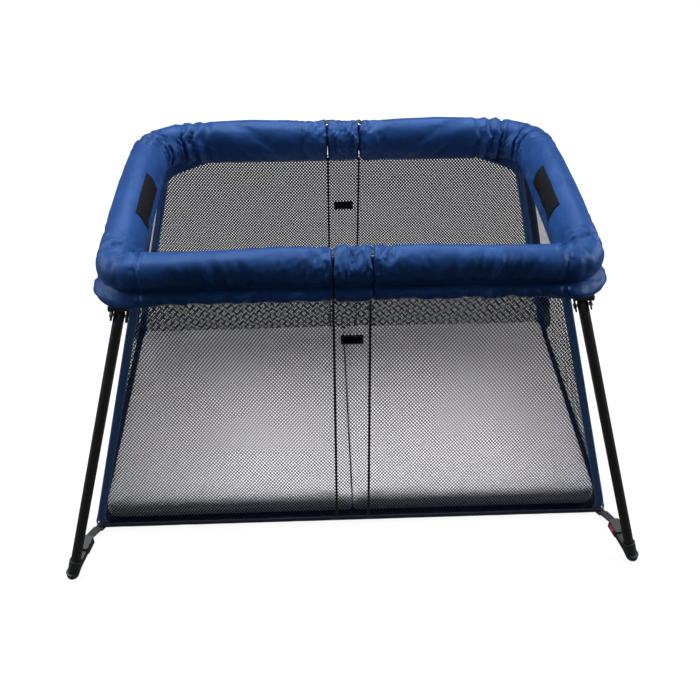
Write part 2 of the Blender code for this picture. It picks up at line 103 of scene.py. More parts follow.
class Nodes:
    """Adds shader nodes to a new material and links them."""

    def __init__(self, name):
        self.material = bpy.data.materials.new(name)
        self.material.use_nodes = True
        self.tree = self.material.node_tree
        self.shader = self.tree.nodes["Principled BSDF"]
        self.coord = self.tree.nodes.new("ShaderNodeTexCoord")

    def add(self, kind, inputs=None, **settings):
        node = self.tree.nodes.new(kind)
        for key, value in settings.items():
            setattr(node, key, value)
        for key, value in (inputs or {}).items():
            if isinstance(value, bpy.types.NodeSocket):
                self.tree.links.new(value, node.inputs[key])
            else:
                node.inputs[key].default_value = value
        return node

    def noise(self, scale, detail=3.0, rough=0.55, vector=None):
        node = self.add("ShaderNodeTexNoise", {"Scale": scale, "Detail": detail, "Roughness": rough})
        self.tree.links.new(vector or self.coord.outputs["Object"], node.inputs["Vector"])
        return node.outputs["Fac"]

    def math(self, operation, a, b=0.0):
        node = self.add("ShaderNodeMath", {0: a, 1: b}, operation=operation)
        return node.outputs[0]

    def ramp(self, value, low, high, a, b):
        node = self.add("ShaderNodeMapRange", {"Value": value, "From Min": low, "From Max": high,
                                               "To Min": a, "To Max": b})
        return node.outputs["Result"]

    def mix(self, factor, a, b):
        node = self.add("ShaderNodeMix", {0: factor, 6: a, 7: b}, data_type="RGBA")
        return node.outputs[2]

    def colour(self, socket):
        self.tree.links.new(socket, self.shader.inputs["Base Color"])

    def rough(self, socket):
        self.tree.links.new(socket, self.shader.inputs["Roughness"])

    def bump(self, height, distance, strength=1.0, below=None):
        inputs = {"Height": height, "Distance": distance, "Strength": strength}
        node = self.add("ShaderNodeBump", inputs)
        if below:
            self.tree.links.new(below, node.inputs["Normal"])
        self.tree.links.new(node.outputs["Normal"], self.shader.inputs["Normal"])
        return node.outputs["Normal"]

    def set(self, **values):
        for key, value in values.items():
            self.shader.inputs[key.replace("_", " ")].default_value = value


def weave(n, pitch):
    """Height of a plain weave: two crossed sets of threads, in object space."""
    x, y, z = n.add("ShaderNodeSeparateXYZ", {0: n.coord.outputs["Object"]}).outputs
    turn = 2 * math.pi / pitch
    along = n.math("SINE", n.math("MULTIPLY", n.math("ADD", x, y), turn))
    across = n.math("SINE", n.math("MULTIPLY", n.math("ADD", z, y), turn))
    return n.math("MULTIPLY", along, across)


def rim_nylon():
    n = Nodes("rim_nylon")
    n.set(Roughness=0.42, Specular_IOR_Level=0.28, Sheen_Weight=0.05, Sheen_Roughness=0.35)
    n.shader.inputs["Sheen Tint"].default_value = (0.30, 0.55, 1.0, 1)
    n.shader.inputs["Specular Tint"].default_value = (0.22, 0.48, 1.0, 1)
    broad = n.noise(14.0, 4.0)
    fade = n.ramp(broad, 0.35, 0.7, 0.0, 1.0)
    n.colour(n.mix(fade, (0.0085, 0.034, 0.130, 1), (0.0130, 0.048, 0.172, 1)))
    n.rough(n.ramp(n.noise(60.0, 2.0), 0.3, 0.7, 0.30, 0.42))
    crease = n.bump(n.noise(95.0, 5.0, 0.6), 0.0012, 0.35)
    n.bump(weave(n, 0.0011), 0.00012, 0.5, crease)
    return n.material


def mesh_knit():
    n = Nodes("mesh_knit")
    n.set(Roughness=0.62, Specular_IOR_Level=0.12)
    grain = n.noise(420.0, 3.0)
    n.colour(n.mix(grain, (0.003, 0.007, 0.022, 1), (0.008, 0.019, 0.055, 1)))
    n.bump(n.noise(900.0, 2.0), 0.0003, 0.5)
    return n.material


def tape_fabric(name, dark, light, pitch=0.0014, specular=0.3, sheen=0.2):
    n = Nodes(name)
    n.set(Roughness=0.7, Specular_IOR_Level=specular, Sheen_Weight=sheen)
    n.colour(n.mix(n.noise(260.0, 3.0), dark, light))
    fine = n.bump(n.noise(500.0, 3.0), 0.0004, 0.4)
    n.bump(weave(n, pitch), 0.00025, 0.7, fine)
    return n.material


def mattress_cloth():
    n = Nodes("mattress_cloth")
    n.set(Roughness=0.85, Specular_IOR_Level=0.2, Sheen_Weight=0.3, Sheen_Roughness=0.5)
    n.colour(n.mix(n.noise(9.0, 4.0), (0.82, 0.82, 0.88, 1), (0.92, 0.92, 0.95, 1)))
    soft = n.bump(n.noise(16.0, 4.0), 0.004, 0.4)
    n.bump(weave(n, 0.0016), 0.0002, 0.6, soft)
    return n.material


def leg_coat():
    n = Nodes("leg_coat")
    n.set(Roughness=0.4, Specular_IOR_Level=0.5)
    n.colour(n.mix(n.noise(40.0, 4.0), (0.0075, 0.0078, 0.009, 1), (0.014, 0.0145, 0.016, 1)))
    n.rough(n.ramp(n.noise(120.0, 3.0), 0.3, 0.7, 0.33, 0.5))
    n.bump(n.noise(1400.0, 2.0), 0.0002, 0.25)
    return n.material


def moulded(name, dark, light, rough=0.5):
    """Moulded plastic with a fine grain, paler where edges have rubbed."""
    n = Nodes(name)
    n.set(Specular_IOR_Level=0.45)
    worn = n.ramp(n.add("ShaderNodeNewGeometry").outputs["Pointiness"], 0.52, 0.60, 0.0, 0.35)
    base = n.mix(n.noise(60.0, 3.0), dark, light)
    n.colour(n.mix(worn, base, tuple(min(1.0, c * 2.2) for c in light[:3]) + (1,)))
    n.rough(n.ramp(n.noise(300.0, 2.0), 0.3, 0.7, rough - 0.06, rough + 0.08))
    n.bump(n.noise(1600.0, 2.0), 0.00025, 0.3)
    return n.material


def steel():
    n = Nodes("hinge_zinc")
    n.set(Metallic=1.0)
    n.colour(n.mix(n.noise(90.0, 4.0), (0.38, 0.39, 0.41, 1), (0.60, 0.61, 0.63, 1)))
    n.rough(n.ramp(n.noise(220.0, 3.0), 0.3, 0.7, 0.28, 0.48))
    n.bump(n.noise(800.0, 2.0), 0.0002, 0.2)
    return n.material


NYLON = rim_nylon()
KNIT = mesh_knit()
BLUE_TAPE = tape_fabric("blue_tape", (0.024, 0.095, 0.270, 1), (0.042, 0.140, 0.380, 1))
BLACK_TAPE = tape_fabric("black_tape", (0.003, 0.003, 0.005, 1), (0.008, 0.009, 0.013, 1))
BASE_CLOTH = tape_fabric("base_cloth", (0.006, 0.012, 0.035, 1), (0.014, 0.024, 0.060, 1), 0.0018)
WEBBING = tape_fabric("strap_webbing", (0.010, 0.011, 0.014, 1), (0.026, 0.028, 0.034, 1), 0.0022)
LABEL = tape_fabric("label_weave", (0.003, 0.0035, 0.005, 1), (0.007, 0.008, 0.011, 1), 0.0009,
                    specular=0.08, sheen=0.0)
THREAD = tape_fabric("thread", (0.020, 0.055, 0.160, 1), (0.035, 0.085, 0.230, 1), 0.0006)
DARK_THREAD = tape_fabric("dark_thread", (0.016, 0.018, 0.024, 1), (0.034, 0.038, 0.048, 1), 0.0006)
MATTRESS = mattress_cloth()
# The mattress's sides: a greyer copy of the mattress cloth, painted shade on the side faces.
MATTRESS_SIDE_PAINTED_SHADE = tape_fabric("mattress_side_painted_shade", (0.50, 0.51, 0.56, 1), (0.66, 0.67, 0.72, 1), 0.0016)
LEG_COAT = leg_coat()
PLASTIC = moulded("black_nylon", (0.008, 0.0085, 0.010, 1), (0.016, 0.017, 0.020, 1), 0.48)
FOOT_PLASTIC = moulded("foot_nylon", (0.011, 0.012, 0.014, 1), (0.022, 0.024, 0.028, 1), 0.5)
RED = moulded("button_red", (0.50, 0.018, 0.050, 1), (0.60, 0.030, 0.070, 1), 0.34)
ZINC = steel()


# Mesh helpers -------------------------------------------------------------------------

def new_mesh(name, verts, faces, materials, smooth=True):
    mesh = bpy.data.meshes.new(name)
    mesh.from_pydata([tuple(v) for v in verts], [], faces)
    mesh.validate()
    for material in materials if isinstance(materials, (list, tuple)) else [materials]:
        mesh.materials.append(material)
    mesh.polygons.foreach_set("use_smooth", [smooth] * len(mesh.polygons))
    piece = bpy.data.objects.new(name, mesh)
    bpy.context.scene.collection.objects.link(piece)
    return piece


def outward(piece):
    bm = bmesh.new()
    bm.from_mesh(piece.data)
    bmesh.ops.recalc_face_normals(bm, faces=bm.faces)
    bm.to_mesh(piece.data)
    bm.free()
    return piece


def loft(rings):
    """Vertices and faces of a closed tube through rings of points, capped at both ends."""
    count = len(rings[0])
    verts = [p for ring in rings for p in ring]
    faces = []
    for r in range(len(rings) - 1):
        for i in range(count):
            j = (i + 1) % count
            a, b = r * count, (r + 1) * count
            faces.append((a + i, a + j, b + j, b + i))
    faces.append(tuple(range(count))[::-1])
    last = (len(rings) - 1) * count
    faces.append(tuple(range(last, last + count)))
    return verts, faces


def steps(count):
    """Equal steps from 0 to 1."""
    return [k / count for k in range(count + 1)]


def grid_faces(cols, rows):
    """Quads of a sheet whose points run along its columns, row after row."""
    faces = []
    for j in range(rows):
        for i in range(cols):
            a = j * (cols + 1) + i
            faces.append((a, a + 1, a + cols + 2, a + cols + 1))
    return faces


def round_end(x, y, radius, inset, count):
    """Points round the two outer corners of a panel's half, from its near side to its far side."""
    points = []
    for k in range(count + 1):
        turn = math.pi / 2 * k / count
        points.append((x - radius + (radius - inset) * math.sin(turn),
                       -y + radius - (radius - inset) * math.cos(turn)))
    for k in range(count + 1):
        turn = math.pi / 2 * (1 - k / count)
        points.append((x - radius + (radius - inset) * math.sin(turn),
                       y - radius + (radius - inset) * math.cos(turn)))
    return points


def subdivide(piece):
    step = piece.modifiers.new("subdivision", "SUBSURF")
    step.levels = 1
    step.render_levels = 1
    return piece


def thicken(piece, thickness):
    step = piece.modifiers.new("thickness", "SOLIDIFY")
    step.thickness = thickness
    return piece


def apply_modifiers(piece):
    graph = bpy.context.evaluated_depsgraph_get()
    mesh = bpy.data.meshes.new_from_object(piece.evaluated_get(graph))
    piece.modifiers.clear()
    piece.data = mesh
    return piece


def frames_along(path):
    """Tangent, side and normal at each point of a polyline, without twist."""
    tangents = []
    for i in range(len(path)):
        a, b = path[max(0, i - 1)], path[min(len(path) - 1, i + 1)]
        tangents.append((b - a).normalized())
    helper = Vector((0, 0, 1)) if abs(tangents[0].z) < 0.9 else Vector((1, 0, 0))
    side = tangents[0].cross(helper).normalized()
    out = []
    for tangent in tangents:
        side = (side - tangent * side.dot(tangent)).normalized()
        out.append((tangent, side, tangent.cross(side)))
    return out


def tube(name, path, radius, material, sides):
    rings = []
    for point, (_, side, up) in zip(path, frames_along(path)):
        ring = []
        for k in range(sides):
            turn = 2 * math.pi * k / sides
            ring.append(point + side * radius * math.cos(turn) + up * radius * math.sin(turn))
        rings.append(ring)
    return outward(new_mesh(name, *loft(rings), material))


def ribbon(name, path, across, thickness, material):
    """A flat strap along a path. across gives its half width vector at each point."""
    shape = ((-1.0, 0.0), (-0.94, 0.8), (-0.5, 1.0), (0.0, 1.0), (0.5, 1.0), (0.94, 0.8),
             (1.0, 0.0), (0.94, -0.8), (0.0, -1.0), (-0.94, -0.8))
    rings = []
    for i, (point, wide) in enumerate(zip(path, across)):
        a, b = path[max(0, i - 1)], path[min(len(path) - 1, i + 1)]
        half = wide.cross(b - a).normalized() * thickness / 2
        rings.append([point + wide * u + half * v for u, v in shape])
    return outward(new_mesh(name, *loft(rings), material))


def finish_piece(piece, body, slot_name, *nodes):
    if nodes:
        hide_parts(*nodes)
    if body:
        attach(piece, body)
    return piece


# Padded rim ---------------------------------------------------------------------------

PROFILE = (
    (0.0350, 0.5555), (0.0400, 0.5580), (0.0428, 0.5640), (0.0425, 0.5720), (0.0385, 0.5790),
    (0.0310, 0.5832), (0.0255, 0.5855), (0.0310, 0.5882), (0.0352, 0.5945), (0.0372, 0.6050),
    (0.0358, 0.6180), (0.0300, 0.6305), (0.0195, 0.6395), (0.0060, 0.6435), (-0.0080, 0.6430),
    (-0.0205, 0.6385), (-0.0305, 0.6280), (-0.0360, 0.6140), (-0.0370, 0.5980), (-0.0350, 0.5820),
    (-0.0325, 0.5690), (-0.0290, 0.5610), (-0.0225, 0.5585), (-0.0120, 0.5640), (0.0020, 0.5670),
    (0.0160, 0.5630), (0.0280, 0.5565),
)
GROOVE = Vector((0.0255, 0.5855))
BENDS = {"front": 0.026, "rear": 0.072}      # the cover's corner radii at the near and far side
COVER_POINTS = 60
LOW_EDGE = 0.5555


def smooth_loop(points, count):
    """Points at equal steps round a closed smooth curve through the given points."""
    dense = []
    size = len(points)
    for i in range(size):
        p0, p1, p2, p3 = (Vector(points[(i + k - 1) % size]) for k in range(4))
        for k in range(12):
            t = k / 12
            dense.append(0.5 * ((2 * p1) + (p2 - p0) * t + (2 * p0 - 5 * p1 + 4 * p2 - p3) * t * t
                                + (3 * p1 - p0 - 3 * p2 + p3) * t ** 3))
    lengths = [0.0]
    for a, b in zip(dense, dense[1:] + dense[:1]):
        lengths.append(lengths[-1] + (b - a).length)
    out = []
    k = 0
    for i in range(count):
        want = lengths[-1] * i / count
        while lengths[k + 1] < want:
            k += 1
        share = (want - lengths[k]) / (lengths[k + 1] - lengths[k])
        out.append(dense[k].lerp(dense[(k + 1) % len(dense)], share))
    return out


def half_path(sign, pitch):
    """Stations along half the rim from the front fold line to the rear one.

    Each is (point, outward, distance to the nearer fold line, distance along).
    """
    near, far = BENDS["front"], BENDS["rear"]
    front_run = RAIL_X - near - FOLD_X
    rear_run = RAIL_X - far - FOLD_X
    parts = (front_run, math.pi / 2 * near, 2 * RAIL_Y - near - far, math.pi / 2 * far, rear_run)
    total = sum(parts)
    count = round(total / pitch)
    stations = []
    for k in range(count + 1):
        rest = s = total * k / count
        index = 0
        while index < 4 and rest > parts[index]:
            rest -= parts[index]
            index += 1
        turn = rest / (near if index == 1 else far)
        if index == 0:
            point, out = Vector((FOLD_X + rest, -RAIL_Y, 0)), Vector((0, -1, 0))
        elif index == 1:
            out = Vector((math.sin(turn), -math.cos(turn), 0))
            point = Vector((RAIL_X - near, -RAIL_Y + near, 0)) + out * near
        elif index == 2:
            point, out = Vector((RAIL_X, -RAIL_Y + near + rest, 0)), Vector((1, 0, 0))
        elif index == 3:
            out = Vector((math.cos(turn), math.sin(turn), 0))
            point = Vector((RAIL_X - far, RAIL_Y - far, 0)) + out * far
        else:
            point, out = Vector((RAIL_X - far - rest, RAIL_Y, 0)), Vector((0, 1, 0))
        stations.append((Vector((sign * point.x, point.y, 0)), Vector((sign * out.x, out.y, 0)),
                         min(s, total - s), s))
    return stations


def cover_rings(stations, loop, inset):
    """The cover's rings: drawn in at the sewn ends, flared at the near corner, lower at the far side."""
    rings = []
    middle = Vector((0.0, RAIL_Z))
    bend_at = sum(corner_stations()[:2]) / 2
    half_rim = len(stations) > CENTRE_STATIONS
    for point, out, reach, s in stations:
        pull = inset * math.exp(-reach / 0.0035) + 0.0030
        ring = []
        far = max(0.0, point.y / RAIL_Y) ** 2
        flare = 0.0065 * math.exp(-((s - bend_at) / 0.045) ** 2) if half_rim else 0.0
        for q in loop:
            q = q - (q - middle).normalized() * pull
            height = LOW_EDGE + (q.y - LOW_EDGE) * (1 - 0.06 * far)
            if q.y < GROOVE.y and q.x > 0.02:
                q = q + Vector((flare, 0.0))
                height -= flare * 0.4
            ring.append(point + out * (q.x * (1 - 0.04 * far)) + Vector((0, -0.005 * far, height)))
        rings.append(ring)
    return rings


def swell(piece, pinned, pressure, shrink, cap, stiff=12.0, bend=0.12):
    """Inflate a closed cover by cloth simulation, holding its pinned points, and keep the result."""
    start = np.array([v.co for v in piece.data.vertices])
    group = piece.vertex_groups.new(name="held")
    for index, weight in pinned:
        group.add([index], weight, "REPLACE")
    cloth = piece.modifiers.new("cloth", "CLOTH")
    settings = cloth.settings
    settings.quality = 6
    settings.mass = 0.25
    settings.tension_stiffness = stiff
    settings.compression_stiffness = stiff
    settings.shear_stiffness = stiff * 0.5
    settings.bending_stiffness = bend
    settings.use_pressure = True
    settings.uniform_pressure_force = pressure
    settings.shrink_min = shrink
    settings.vertex_group_mass = "held"
    settings.pin_stiffness = 5.0
    settings.effector_weights.gravity = 0.0
    cloth.collision_settings.use_collision = False
    cloth.point_cache.frame_start = 1
    cloth.point_cache.frame_end = SIM_FRAMES
    scene = bpy.context.scene
    for step in range(1, SIM_FRAMES + 1):
        scene.frame_set(step)
    apply_modifiers(piece)
    end = np.array([v.co for v in piece.data.vertices])
    move = end - start
    size = np.linalg.norm(move, axis=1)
    scale = np.minimum(1.0, cap / np.maximum(size, 1e-9))
    end = start + move * scale[:, None]
    piece.data.vertices.foreach_set("co", end.astype(np.float32).ravel())
    piece.data.update()
    scene.frame_set(1)
    piece.vertex_groups.clear()
    return piece


def ridge(x, y, seed):
    """Sharp-crested noise, 0 to 1."""
    return (1 - abs(noise.noise(Vector((x, y, seed))))) ** 5


def corner_stations():
    """Distances along the half rim where its two bends begin and end."""
    near, far = BENDS["front"], BENDS["rear"]
    a = RAIL_X - near - FOLD_X
    b = a + math.pi / 2 * near
    c = b + 2 * RAIL_Y - near - far
    return a, b, c, c + math.pi / 2 * far


def bend_creases():
    """Where each crease crosses the half rim, with its width and depth."""
    a, b, c, d = corner_stations()
    return ((a - 0.012, 0.0045, 0.0050), (a + 0.012, 0.0035, 0.0036), (b + 0.006, 0.0045, 0.0046),
            (b + 0.030, 0.0055, 0.0022), (c - 0.004, 0.0050, 0.0040), (c + 0.022, 0.0045, 0.0058),
            (c + 0.046, 0.0040, 0.0058), (d - 0.010, 0.0045, 0.0064), (d + 0.014, 0.0050, 0.0048),
            (d + 0.040, 0.0060, 0.0026))


def crease_rise(side, u, creases):
    """Creases with a low swelling on both sides, weaker on the rim's outer face."""
    strength = 1.0 if u < 0.012 else 0.55
    rise = 0.0
    for spot, width, depth in creases:
        far = (side - spot) / width
        if abs(far) < 4:
            rise -= strength * depth * math.exp(-far * far)
            rise += strength * depth * 0.35 * math.exp(-((abs(far) - 2.0) ** 2))
    return rise


def seam_rise(side, lean, around, reach, seed):
    """Gathers that fade out away from a sewn end."""
    fade = math.exp(-reach / 0.030) * (1 - 0.7 * math.exp(-reach / 0.003))
    return fade * (0.0058 * (ridge(lean * 88, around * 0.6, seed) - 0.35)
                   + 0.0010 * noise.noise(Vector((side * 120, around * 1.1, seed + 3))))


def crumple(piece, path, seed):
    """Gathers at the sewn ends, creases in the bends and soft folds along the near side.

    path is a list of stations. Each point of the cover is read against the nearest one.
    """
    mesh = piece.data
    co = np.array([v.co for v in mesh.vertices])
    normals = np.array([v.normal for v in mesh.vertices])
    spots = np.array([[p[0].x, p[0].y] for p in path])
    half_rim = len(path) > CENTRE_STATIONS
    creases = bend_creases()
    drape_at = corner_stations()[0] * 0.62
    for k, here in enumerate(co):
        nearest = int(np.argmin(((spots - here[:2]) ** 2).sum(axis=1)))
        point, out, reach, s = path[nearest]
        off = Vector(here) - point
        u, z = off.x * out.x + off.y * out.y, here[2]
        around = math.atan2(z - RAIL_Z, u)
        side = s + 0.008 * noise.noise(Vector((around * 1.6, s * 6, seed)))
        lean = side + 0.010 * (z - RAIL_Z) / 0.04
        gathers = seam_rise(side, lean, around, reach, seed)
        rise = 0.0006 * noise.noise(Vector(here) * 34)
        rise += gathers * (0.3 if z < GROOVE.y and abs(u) < 0.05 else 1.0)
        if not half_rim:
            rise += (0.0036 if z > GROOVE.y else 0.001) * (ridge(lean * 115, around * 0.5, seed + 1) - 0.4)
        elif here[1] < 0.1:
            drape = math.exp(-((s - drape_at) / 0.085) ** 2) * max(0.0, math.cos(around + 0.2))
            rise += 0.0090 * drape * noise.noise(Vector(((s - z * 0.35) * 64, around * 0.3, seed + 7)))
        if z < GROOVE.y and u > 0:
            skirt = min(1.0, max(0.0, (z - LOW_EDGE - 0.0045) / 0.006))
            rise += 0.0034 * skirt * (ridge((s + z * 1.4) * 24, 0.0, seed + 5) ** 2 - 0.1)
        if half_rim:
            rise += crease_rise(side, u, creases)
        groove = math.exp(-(((z - GROOVE.y) / 0.004) ** 2)) if u > 0.01 else 0.0
        hem = min(1.0, max(0.05, (z - LOW_EDGE - 0.003) / 0.007)) if u > 0 else 1.0
        co[k] += normals[k] * rise * (1 - 0.8 * groove) * hem
    co[:, 2] = np.minimum(co[:, 2], 0.655)
    mesh.vertices.foreach_set("co", co.astype(np.float32).ravel())
    mesh.update()


def rim_cover(name, stations, seed, node):
    """One sewn section of the rim: a roll over a skirt, held along the groove and underside."""
    loop = smooth_loop(PROFILE, COVER_POINTS)
    rings = cover_rings(stations, loop, inset=0.0035)
    piece = outward(new_mesh(name, *loft(rings), NYLON))
    held = []
    for i, q in enumerate(loop):
        in_groove = (q - GROOVE).length < 0.0070
        under = q.y < 0.5700 and -0.034 < q.x < 0.034
        for r in range(len(stations)):
            if in_groove or under or r in (0, len(stations) - 1):
                held.append((r * COVER_POINTS + i, 1.0))
    swell(piece, held, pressure=3.0, shrink=-0.03, cap=0.0055)
    subdivide(piece)
    apply_modifiers(piece)
    crumple(piece, stations, seed)
    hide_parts(node)
    return piece


def centre_path(sign):
    """Stations along a centre piece, in the form of half_path's."""
    count = round(2 * FOLD_X / CENTRE_PITCH)
    stations = []
    for k in range(count + 1):
        x = -FOLD_X + 2 * FOLD_X * k / count
        stations.append((Vector((x, sign * RAIL_Y, 0)), Vector((0, sign, 0)), FOLD_X - abs(x), x))
    return stations


def rims():
    covers = {}
    for end, s in ENDS:
        path = half_path(s, COVER_PITCH)
        covers[end] = rim_cover(f"{end}_rim_cover", path, 2.0 + s, f"{end}_rim_pad")
    for side, sign in SIDES:
        path = centre_path(sign)
        covers[side] = rim_cover(f"{side}_centre_cover", path, 8.0 + sign, f"{side}_centre_pad")
    return covers


GUSSET_LONG, GUSSET_SHORT = 0.115, 0.075     # how far a web runs along the side and the end
GUSSET_TOP = 0.577
GUSSET_HEM, GUSSET_DROP = 0.012, 0.046


def gusset(end, s, side, sign):
    """A curved fabric web that fills the inside corner under the rim."""
    corner = corner_at(0.97)
    cols, rows = 28, 8
    verts = []
    for i in range(cols + 1):
        w = 2 * i / cols - 1
        along, across = (GUSSET_LONG * -w, 0.0) if w < 0 else (0.0, GUSSET_SHORT * w)
        bend = 0.0035 + 0.0072 * math.exp(-(w / 0.16) ** 2)
        drop = GUSSET_DROP * max(0.0, 1 - abs(w)) ** 1.1
        for t in steps(rows):
            z = GUSSET_TOP - t * (GUSSET_HEM + drop)
            pucker = 0.0012 * noise.noise(Vector((w * 5, t * 2, 3 * s + sign)))
            slope = (GUSSET_TOP - z) * 0.14
            x = corner.x - bend - along + pucker + slope
            y = corner.y - bend - across + pucker + slope * 0.6
            verts.append(Vector((s * x, sign * y, z)))
    piece = new_mesh(f"{side}_{end}_gusset", verts, grid_faces(rows, cols), NYLON)
    return finish_piece(thicken(piece, 0.0012), f"{end}_half", "rim_fabric")


# Mesh walls ---------------------------------------------------------------------------

def corner_at(t):
    """The wall corner's (x, y, z) at a share t of the height."""
    corner = WALL_BOTTOM.lerp(WALL_TOP, t)
    nip = max(0.0, 1 - t / 0.045) ** 1.5
    return corner - Vector((0.010, 0.004, 0)) * nip


def billow(along, t, half, seed):
    """How far the cloth stands off its flat plane, inward positive."""
    u = max(-1.0, min(1.0, along / half))
    mask = (1 - u * u) * math.sin(math.pi * max(0.0, min(1.0, t))) ** 0.7
    ripple = noise.noise(Vector((along * 9, t * 3.0, seed))) * 0.006
    fine = noise.noise(Vector((along * 22 + t * 9, t * 5, seed + 4))) * 0.0022
    return mask * (0.004 + ripple + fine)


def long_point(sign, along, t, seed):
    corner = corner_at(t)
    off = billow(along, t, corner.x, seed)
    return Vector((along, sign * (corner.y - off), corner.z))


def end_point(s, along, t, seed):
    corner = corner_at(t)
    off = billow(along, t, corner.y, seed)
    return Vector((s * (corner.x - off), along, corner.z))


def net(name, place, low, high, seed, body, node, flat, open_part):
    """Knitted mesh: a staggered lattice of diamond holes between two edges, as real strands.

    place(along, t, seed) gives a point of the wall, and low(t) and high(t) its edges. flat, the
    panel's width and height and the share of it that is cloth, is not used.
    """
    verts = []
    faces = []
    known = {}
    rows = int(WALL_SLOPE / HOLE_B)
    reach = int(0.56 / HOLE_A)

    def at(along, t):
        t = max(0.0, min(NET_TOP, t))
        along = max(low(t), min(high(t), along))
        verts.append(place(along, t, seed))
        return len(verts) - 1

    def outer(i, j):
        if (i, j) not in known:
            known[(i, j)] = at(i * HOLE_A, j * HOLE_B / WALL_SLOPE)
        return known[(i, j)]

    for j in range(0, rows + 5):
        t = j * HOLE_B / WALL_SLOPE
        first = math.ceil((low(min(NET_TOP, t)) - HOLE_A * 0.4) / HOLE_A)
        last = math.floor((high(min(NET_TOP, t)) + HOLE_A * 0.4) / HOLE_A)
        for i in range(max(-reach, first), min(reach, last) + 1):
            if (i + j) % 2:
                continue
            ring = [outer(i + 1, j), outer(i, j + 1), outer(i - 1, j), outer(i, j - 1)]
            tall = open_part * HOLE_B / WALL_SLOPE
            hole = [at((i + open_part) * HOLE_A, t), at(i * HOLE_A, t + tall),
                    at((i - open_part) * HOLE_A, t), at(i * HOLE_A, t - tall)]
            for k in range(4):
                m = (k + 1) % 4
                faces.append((ring[k], ring[m], hole[m], hole[k]))
    piece = new_mesh(name, verts, faces, KNIT)
    return finish_piece(piece, body, "mesh_fabric", node)


def nets():
    made = []
    for side, sign in SIDES:
        hole = HOLE_OPEN[side]
        solid = 1 - hole ** 2
        wall = partial(long_point, sign)
        width = WALL_BOTTOM.x - FOLD_X
        mean = (WALL_BOTTOM.x + WALL_TOP.x) / 2 - FOLD_X
        flat = (width, WALL_SLOPE, solid * mean / width)
        edges = {"left": (lambda t: -corner_at(t).x, lambda t: -FOLD_X),
                 "right": (lambda t: FOLD_X, lambda t: corner_at(t).x)}
        for end, s in ENDS:
            made.append(net(f"{side}_{end}_net", wall, *edges[end], WALL_SEED[side], f"{end}_half",
                            f"{side}_{end}_mesh", flat, hole))
        made.append(net(f"{side}_centre_net", wall, lambda t: -FOLD_X, lambda t: FOLD_X, WALL_SEED[side],
                        "centre", f"{side}_centre_mesh", (2 * FOLD_X, WALL_SLOPE, solid), hole))
    hole = HOLE_OPEN["end"]
    width = 2 * WALL_BOTTOM.y
    mean = WALL_BOTTOM.y + WALL_TOP.y
    flat = (width, WALL_SLOPE, (1 - hole ** 2) * mean / width)
    for end, s in ENDS:
        made.append(net(f"{end}_end_net", partial(end_point, s), lambda t: -corner_at(t).y,
                        lambda t: corner_at(t).y, 11.0 + s, f"{end}_half", f"{end}_end_mesh", flat, hole))
    return made


# Tapes and seams on the walls ---------------------------------------------------------

TAPE_WIDTH = 0.0145                    # of each leaf of a corner tape
TAPE_LIFT = 0.0011


def wall_corner(s, sign, t):
    x, y, z = corner_at(t)
    return Vector((s * x, sign * y, z))


def tape_section(corner, s, sign, wide):
    """Outline of a tape folded over a wall corner, its outer face first."""
    out = Vector((s, sign, 0)).normalized()
    long_lift, end_lift = Vector((0, sign * TAPE_LIFT, 0)), Vector((s * TAPE_LIFT, 0, 0))
    a = corner + Vector((-s * wide, 0, 0))
    b = corner + Vector((0, -sign * wide, 0))
    return [a + long_lift, a.lerp(corner, 0.5) + long_lift * 1.2, a.lerp(corner, 0.88) + long_lift * 1.5,
            corner + out * 0.0026, b.lerp(corner, 0.88) + end_lift * 1.5,
            b.lerp(corner, 0.5) + end_lift * 1.2, b + end_lift,
            b - end_lift, b.lerp(corner, 0.88) - end_lift, corner - out * 0.0016,
            a.lerp(corner, 0.88) - long_lift, a - long_lift]


def zigzag(name, s, sign, leaf, face):
    """A zigzag thread down one face of a corner tape's leaf: 0 on the long wall, 1 on the end wall."""
    path = []
    for k, t in enumerate(steps(200)):
        away = 0.0105 + (0.0018 if k % 2 else -0.0018)
        off = (-s * away, sign * face * 0.0016, 0) if leaf == 0 else (s * face * 0.0016, -sign * away, 0)
        path.append(wall_corner(s, sign, t) + Vector(off))
    return tube(name, path, 0.00042, THREAD, 4)


def corner_tape(end, s, side, sign):
    """Binding folded over the wall corner, with a zigzag stitch down each leaf."""
    rings = []
    for t in steps(40):
        wobble = 0.0008 * noise.noise(Vector((t * 9, s * 3.0, sign * 2.0)))
        rings.append(tape_section(wall_corner(s, sign, t), s, sign, TAPE_WIDTH + wobble))
    name = f"{side}_{end}_corner"
    piece = outward(new_mesh(f"{name}_tape", *loft(rings), BLUE_TAPE))
    finish_piece(piece, f"{end}_half", "mesh_fabric")
    stitches = [zigzag(f"{name}_stitch", s, sign, leaf, face) for leaf in (0, 1) for face in (-1, 1)]
    return [piece, join(stitches, f"{name}_stitching", f"{end}_half", "mesh_fabric")]


def join(parts, name, body, slot_name):
    """Join several meshes of one material into one piece."""
    bm = bmesh.new()
    for part in parts:
        bm.from_mesh(part.data)
    mesh = bpy.data.meshes.new(name)
    bm.to_mesh(mesh)
    bm.free()
    for material in parts[0].data.materials:
        mesh.materials.append(material)
    for part in parts:
        bpy.data.objects.remove(part, do_unlink=True)
    piece = bpy.data.objects.new(name, mesh)
    bpy.context.scene.collection.objects.link(piece)
    return finish_piece(piece, body, slot_name)


def fold_seams():
    """Narrow black tapes down the long walls at the fold lines."""
    made = []
    for side, sign in SIDES:
        for end, s in ENDS:
            path = [long_point(sign, s * FOLD_X, t, WALL_SEED[side]) for t in steps(60)]
            across = [Vector((0.0026, 0, 0))] * len(path)
            piece = ribbon(f"{side}_{end}_fold_seam", path, across, 0.0026, BLACK_TAPE)
            made.append(finish_piece(piece, "centre", "mesh_fabric"))
    return made


